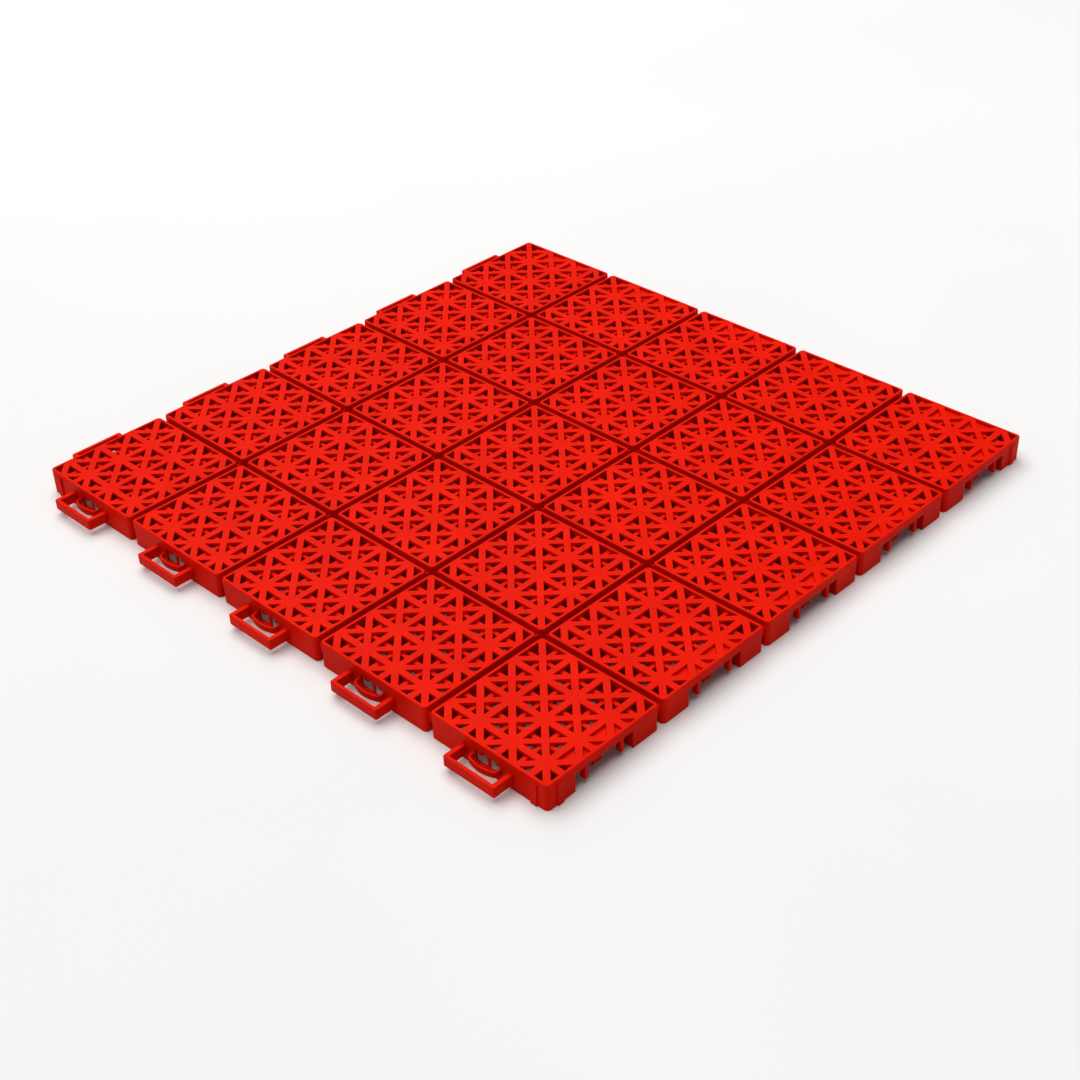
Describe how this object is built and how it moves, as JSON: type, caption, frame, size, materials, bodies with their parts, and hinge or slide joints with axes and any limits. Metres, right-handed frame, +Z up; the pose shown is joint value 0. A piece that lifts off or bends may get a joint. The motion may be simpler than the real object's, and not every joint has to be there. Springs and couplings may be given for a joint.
{
  "type": "interlocking grid floor tile",
  "caption": "Square open-grid plastic floor tile of small lattice squares joined by flexible webs, with loops on two sides and sockets on the other two.",
  "frame": {"origin": "on the floor under the centre of the whole tile's bounding box, loops included", "axes": "+Z up; loops stand out towards -X and +Y, sockets open towards +X and -Y"},
  "size_m": [0.3382, 0.3382, 0.0127],
  "materials": {
    "red_plastic": "satin moulded polypropylene"
  },
  "bodies": {
    "square_r1c1": {"square_r1c1": "red_plastic", "web_r1c1": "red_plastic", "loop_west_r1": "red_plastic", "loop_north_c1": "red_plastic"},
    "square_r1c2": {"square_r1c2": "red_plastic", "web_r1c2": "red_plastic", "loop_north_c2": "red_plastic"},
    "square_r1c3": {"square_r1c3": "red_plastic", "web_r1c3": "red_plastic", "loop_north_c3": "red_plastic"},
    "square_r1c4": {"square_r1c4": "red_plastic", "web_r1c4": "red_plastic", "loop_north_c4": "red_plastic"},
    "square_r1c5": {"square_r1c5": "red_plastic", "web_r1c5": "red_plastic", "loop_north_c5": "red_plastic"},
    "square_r2c1": {"square_r2c1": "red_plastic", "web_r2c1": "red_plastic", "loop_west_r2": "red_plastic"},
    "square_r2c2": {"square_r2c2": "red_plastic", "web_r2c2": "red_plastic"},
    "square_r2c3": {"square_r2c3": "red_plastic", "web_r2c3": "red_plastic"},
    "square_r2c4": {"square_r2c4": "red_plastic", "web_r2c4": "red_plastic"},
    "square_r2c5": {"square_r2c5": "red_plastic", "web_r2c5": "red_plastic"},
    "square_r3c1": {"square_r3c1": "red_plastic", "web_r3c1": "red_plastic", "loop_west_r3": "red_plastic"},
    "square_r3c2": {"square_r3c2": "red_plastic", "web_r3c2": "red_plastic"},
    "square_r3c3": {"square_r3c3": "red_plastic"},
    "square_r3c4": {"square_r3c4": "red_plastic", "web_r3c4": "red_plastic"},
    "square_r3c5": {"square_r3c5": "red_plastic", "web_r3c5": "red_plastic"},
    "square_r4c1": {"square_r4c1": "red_plastic", "web_r4c1": "red_plastic", "loop_west_r4": "red_plastic"},
    "square_r4c2": {"square_r4c2": "red_plastic", "web_r4c2": "red_plastic"},
    "square_r4c3": {"square_r4c3": "red_plastic", "web_r4c3": "red_plastic"},
    "square_r4c4": {"square_r4c4": "red_plastic", "web_r4c4": "red_plastic"},
    "square_r4c5": {"square_r4c5": "red_plastic", "web_r4c5": "red_plastic"},
    "square_r5c1": {"square_r5c1": "red_plastic", "web_r5c1": "red_plastic", "loop_west_r5": "red_plastic"},
    "square_r5c2": {"square_r5c2": "red_plastic", "web_r5c2": "red_plastic"},
    "square_r5c3": {"square_r5c3": "red_plastic", "web_r5c3": "red_plastic"},
    "square_r5c4": {"square_r5c4": "red_plastic", "web_r5c4": "red_plastic"},
    "square_r5c5": {"square_r5c5": "red_plastic", "web_r5c5": "red_plastic"}
  },
  "joints": [
    {"name": "row_fold_23", "type": "hinge", "parent": "square_r3c3", "child": "square_r2c3", "pos_m": [0.0048, 0.0282, 0.007], "axis": [1, 0, 0], "range_deg": [-5, 5], "stiffness_Nm_per_rad": 0.5},
    {"name": "row_fold_12", "type": "hinge", "parent": "square_r2c3", "child": "square_r1c3", "pos_m": [0.0048, 0.0942, 0.007], "axis": [1, 0, 0], "range_deg": [-5, 5], "stiffness_Nm_per_rad": 0.5},
    {"name": "row_fold_34", "type": "hinge", "parent": "square_r3c3", "child": "square_r4c3", "pos_m": [0.0048, -0.0378, 0.007], "axis": [-1, 0, 0], "range_deg": [-5, 5], "stiffness_Nm_per_rad": 0.5},
    {"name": "row_fold_45", "type": "hinge", "parent": "square_r4c3", "child": "square_r5c3", "pos_m": [0.0048, -0.1038, 0.007], "axis": [-1, 0, 0], "range_deg": [-5, 5], "stiffness_Nm_per_rad": 0.5},
    {"name": "column_fold_23", "type": "hinge", "parent": "square_r3c3", "child": "square_r3c2", "pos_m": [-0.0282, -0.0048, 0.007], "axis": [0, 1, 0], "range_deg": [-5, 5], "stiffness_Nm_per_rad": 0.5},
    {"name": "column_fold_12", "type": "hinge", "parent": "square_r3c2", "child": "square_r3c1", "pos_m": [-0.0942, -0.0048, 0.007], "axis": [0, 1, 0], "range_deg": [-5, 5], "stiffness_Nm_per_rad": 0.5},
    {"name": "column_fold_34", "type": "hinge", "parent": "square_r3c3", "child": "square_r3c4", "pos_m": [0.0378, -0.0048, 0.007], "axis": [0, -1, 0], "range_deg": [-5, 5], "stiffness_Nm_per_rad": 0.5},
    {"name": "column_fold_45", "type": "hinge", "parent": "square_r3c4", "child": "square_r3c5", "pos_m": [0.1038, -0.0048, 0.007], "axis": [0, -1, 0], "range_deg": [-5, 5], "stiffness_Nm_per_rad": 0.5},
    {"name": "column_fold_23_r1", "type": "hinge", "parent": "square_r1c3", "child": "square_r1c2", "pos_m": [-0.0282, 0.1272, 0.007], "axis": [0, 1, 0], "range_deg": [-5, 5], "stiffness_Nm_per_rad": 0.5},
    {"name": "column_fold_12_r1", "type": "hinge", "parent": "square_r1c2", "child": "square_r1c1", "pos_m": [-0.0942, 0.1272, 0.007], "axis": [0, 1, 0], "range_deg": [-5, 5], "stiffness_Nm_per_rad": 0.5},
    {"name": "column_fold_34_r1", "type": "hinge", "parent": "square_r1c3", "child": "square_r1c4", "pos_m": [0.0378, 0.1272, 0.007], "axis": [0, -1, 0], "range_deg": [-5, 5], "stiffness_Nm_per_rad": 0.5},
    {"name": "column_fold_45_r1", "type": "hinge", "parent": "square_r1c4", "child": "square_r1c5", "pos_m": [0.1038, 0.1272, 0.007], "axis": [0, -1, 0], "range_deg": [-5, 5], "stiffness_Nm_per_rad": 0.5},
    {"name": "column_fold_23_r2", "type": "hinge", "parent": "square_r2c3", "child": "square_r2c2", "pos_m": [-0.0282, 0.0612, 0.007], "axis": [0, 1, 0], "range_deg": [-5, 5], "stiffness_Nm_per_rad": 0.5},
    {"name": "column_fold_12_r2", "type": "hinge", "parent": "square_r2c2", "child": "square_r2c1", "pos_m": [-0.0942, 0.0612, 0.007], "axis": [0, 1, 0], "range_deg": [-5, 5], "stiffness_Nm_per_rad": 0.5},
    {"name": "column_fold_34_r2", "type": "hinge", "parent": "square_r2c3", "child": "square_r2c4", "pos_m": [0.0378, 0.0612, 0.007], "axis": [0, -1, 0], "range_deg": [-5, 5], "stiffness_Nm_per_rad": 0.5},
    {"name": "column_fold_45_r2", "type": "hinge", "parent": "square_r2c4", "child": "square_r2c5", "pos_m": [0.1038, 0.0612, 0.007], "axis": [0, -1, 0], "range_deg": [-5, 5], "stiffness_Nm_per_rad": 0.5},
    {"name": "column_fold_23_r4", "type": "hinge", "parent": "square_r4c3", "child": "square_r4c2", "pos_m": [-0.0282, -0.0708, 0.007], "axis": [0, 1, 0], "range_deg": [-5, 5], "stiffness_Nm_per_rad": 0.5},
    {"name": "column_fold_12_r4", "type": "hinge", "parent": "square_r4c2", "child": "square_r4c1", "pos_m": [-0.0942, -0.0708, 0.007], "axis": [0, 1, 0], "range_deg": [-5, 5], "stiffness_Nm_per_rad": 0.5},
    {"name": "column_fold_34_r4", "type": "hinge", "parent": "square_r4c3", "child": "square_r4c4", "pos_m": [0.0378, -0.0708, 0.007], "axis": [0, -1, 0], "range_deg": [-5, 5], "stiffness_Nm_per_rad": 0.5},
    {"name": "column_fold_45_r4", "type": "hinge", "parent": "square_r4c4", "child": "square_r4c5", "pos_m": [0.1038, -0.0708, 0.007], "axis": [0, -1, 0], "range_deg": [-5, 5], "stiffness_Nm_per_rad": 0.5},
    {"name": "column_fold_23_r5", "type": "hinge", "parent": "square_r5c3", "child": "square_r5c2", "pos_m": [-0.0282, -0.1368, 0.007], "axis": [0, 1, 0], "range_deg": [-5, 5], "stiffness_Nm_per_rad": 0.5},
    {"name": "column_fold_12_r5", "type": "hinge", "parent": "square_r5c2", "child": "square_r5c1", "pos_m": [-0.0942, -0.1368, 0.007], "axis": [0, 1, 0], "range_deg": [-5, 5], "stiffness_Nm_per_rad": 0.5},
    {"name": "column_fold_34_r5", "type": "hinge", "parent": "square_r5c3", "child": "square_r5c4", "pos_m": [0.0378, -0.1368, 0.007], "axis": [0, -1, 0], "range_deg": [-5, 5], "stiffness_Nm_per_rad": 0.5},
    {"name": "column_fold_45_r5", "type": "hinge", "parent": "square_r5c4", "child": "square_r5c5", "pos_m": [0.1038, -0.1368, 0.007], "axis": [0, -1, 0], "range_deg": [-5, 5], "stiffness_Nm_per_rad": 0.5}
  ],
  "couplings": [
    {"joint": "column_fold_23_r1", "follows": "column_fold_23", "ratio": 1},
    {"joint": "column_fold_12_r1", "follows": "column_fold_12", "ratio": 1},
    {"joint": "column_fold_34_r1", "follows": "column_fold_34", "ratio": 1},
    {"joint": "column_fold_45_r1", "follows": "column_fold_45", "ratio": 1},
    {"joint": "column_fold_23_r2", "follows": "column_fold_23", "ratio": 1},
    {"joint": "column_fold_12_r2", "follows": "column_fold_12", "ratio": 1},
    {"joint": "column_fold_34_r2", "follows": "column_fold_34", "ratio": 1},
    {"joint": "column_fold_45_r2", "follows": "column_fold_45", "ratio": 1},
    {"joint": "column_fold_23_r4", "follows": "column_fold_23", "ratio": 1},
    {"joint": "column_fold_12_r4", "follows": "column_fold_12", "ratio": 1},
    {"joint": "column_fold_34_r4", "follows": "column_fold_34", "ratio": 1},
    {"joint": "column_fold_45_r4", "follows": "column_fold_45", "ratio": 1},
    {"joint": "column_fold_23_r5", "follows": "column_fold_23", "ratio": 1},
    {"joint": "column_fold_12_r5", "follows": "column_fold_12", "ratio": 1},
    {"joint": "column_fold_34_r5", "follows": "column_fold_34", "ratio": 1},
    {"joint": "column_fold_45_r5", "follows": "column_fold_45", "ratio": 1}
  ]
}
